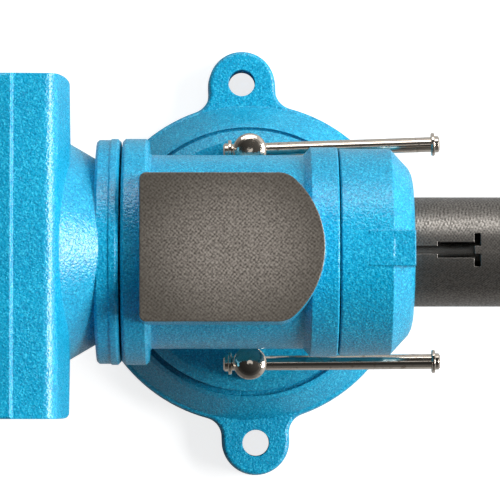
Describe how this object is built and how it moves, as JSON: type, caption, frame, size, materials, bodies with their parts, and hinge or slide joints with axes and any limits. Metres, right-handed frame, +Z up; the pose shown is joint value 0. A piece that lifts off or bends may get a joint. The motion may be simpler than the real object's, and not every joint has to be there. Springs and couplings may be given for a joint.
{
  "type": "bench vise",
  "caption": "Bench vise with a turning head: flat jaws above, pipe jaws below, an anvil, a round slide tube and a swivel base with two bolt lugs.",
  "frame": {"origin": "middle of the base's underside, on the swivel line", "axes": "+X along the spindle line towards the slide tube's rear end, +Y to the left seen from the jaws looking to the rear, +Z up from the bench"},
  "size_m": [0.38, 0.196, 0.187],
  "materials": {
    "blue_hammered_paint": "hammered gloss enamel",
    "dark_steel": "oiled dark steel",
    "ground_steel": "ground",
    "black_steel": "black oxide",
    "chrome": "polished plate",
    "bronze": "turned",
    "cast_iron": "as cast"
  },
  "bodies": {
    "base": {"swivel_base": "blue_hammered_paint"},
    "body": {"body_casting": "blue_hammered_paint", "clamp_ring": "cast_iron", "lock_washers": "chrome", "head_lock_pad": "bronze"},
    "head": {"head_casting": "blue_hammered_paint", "rear_ring": "blue_hammered_paint", "ring_key": "dark_steel", "ring_set_screws": "black_steel", "fixed_jaw_plate": "ground_steel", "fixed_plate_screws": "black_steel", "fixed_pipe_jaw": "dark_steel", "fixed_pipe_screws": "black_steel", "spindle_nut": "bronze", "nut_key": "ground_steel"},
    "slide": {"moving_jaw": "blue_hammered_paint", "slide_tube": "dark_steel", "moving_jaw_plate": "ground_steel", "moving_plate_screws": "black_steel", "moving_pipe_jaw": "dark_steel", "moving_pipe_screws": "black_steel", "tube_set_screws": "black_steel", "thrust_washer": "bronze", "retaining_plate": "ground_steel", "retaining_screws": "black_steel"},
    "spindle": {"spindle": "ground_steel"},
    "handle": {"handle_bar": "chrome", "handle_knobs": "chrome"},
    "left_lock": {"lock_bolt_left": "chrome"},
    "left_lock_bar": {"lock_bar_left": "chrome", "lock_bar_left_caps": "chrome"},
    "right_lock": {"lock_bolt_right": "chrome"},
    "right_lock_bar": {"lock_bar_right": "chrome", "lock_bar_right_caps": "chrome"},
    "head_lock": {"head_lock_screw": "chrome"},
    "head_lock_bar": {"head_lock_bar": "chrome", "head_lock_bar_caps": "chrome"}
  },
  "joints": [
    {"name": "base_swivel", "type": "hinge", "parent": "base", "child": "body", "pos_m": [0, 0, 0.028], "axis": [0, 0, 1], "continuous": true},
    {"name": "head_turn", "type": "hinge", "parent": "body", "child": "head", "pos_m": [0, 0, 0.127], "axis": [1, 0, 0], "continuous": true},
    {"name": "jaw_slide", "type": "slide", "parent": "head", "child": "slide", "axis": [-1, 0, 0], "range_m": [-0.012, 0.115]},
    {"name": "spindle_turn", "type": "hinge", "parent": "slide", "child": "spindle", "pos_m": [-0.2, 0, 0.127], "axis": [1, 0, 0], "continuous": true},
    {"name": "handle_slide", "type": "slide", "parent": "spindle", "child": "handle", "axis": [0, 1, 0], "range_m": [-0.064, 0.064]},
    {"name": "left_lock_turn", "type": "hinge", "parent": "body", "child": "left_lock", "pos_m": [0, 0.0422, 0.08], "axis": [0, 0, 1], "range_deg": [-10, 120]},
    {"name": "left_bar_slide", "type": "slide", "parent": "left_lock", "child": "left_lock_bar", "axis": [0.9994, 0.0349, 0], "range_m": [-0.05, 0]},
    {"name": "right_lock_turn", "type": "hinge", "parent": "body", "child": "right_lock", "pos_m": [0, -0.0422, 0.08], "axis": [0, 0, 1], "range_deg": [-120, 10]},
    {"name": "right_bar_slide", "type": "slide", "parent": "right_lock", "child": "right_lock_bar", "axis": [-1, -0.0087, 0], "range_m": [0, 0.05]},
    {"name": "head_lock_turn", "type": "hinge", "parent": "body", "child": "head_lock", "pos_m": [0.0215, 0, 0.062], "axis": [0, 0, 1], "range_deg": [-90, 90]},
    {"name": "head_lock_bar_slide", "type": "slide", "parent": "head_lock", "child": "head_lock_bar", "axis": [1, 0, 0], "range_m": [-0.007, 0]}
  ],
  "couplings": [
    {"joint": "spindle_turn", "follows": "jaw_slide", "rad_per_m": -1256.6}
  ]
}
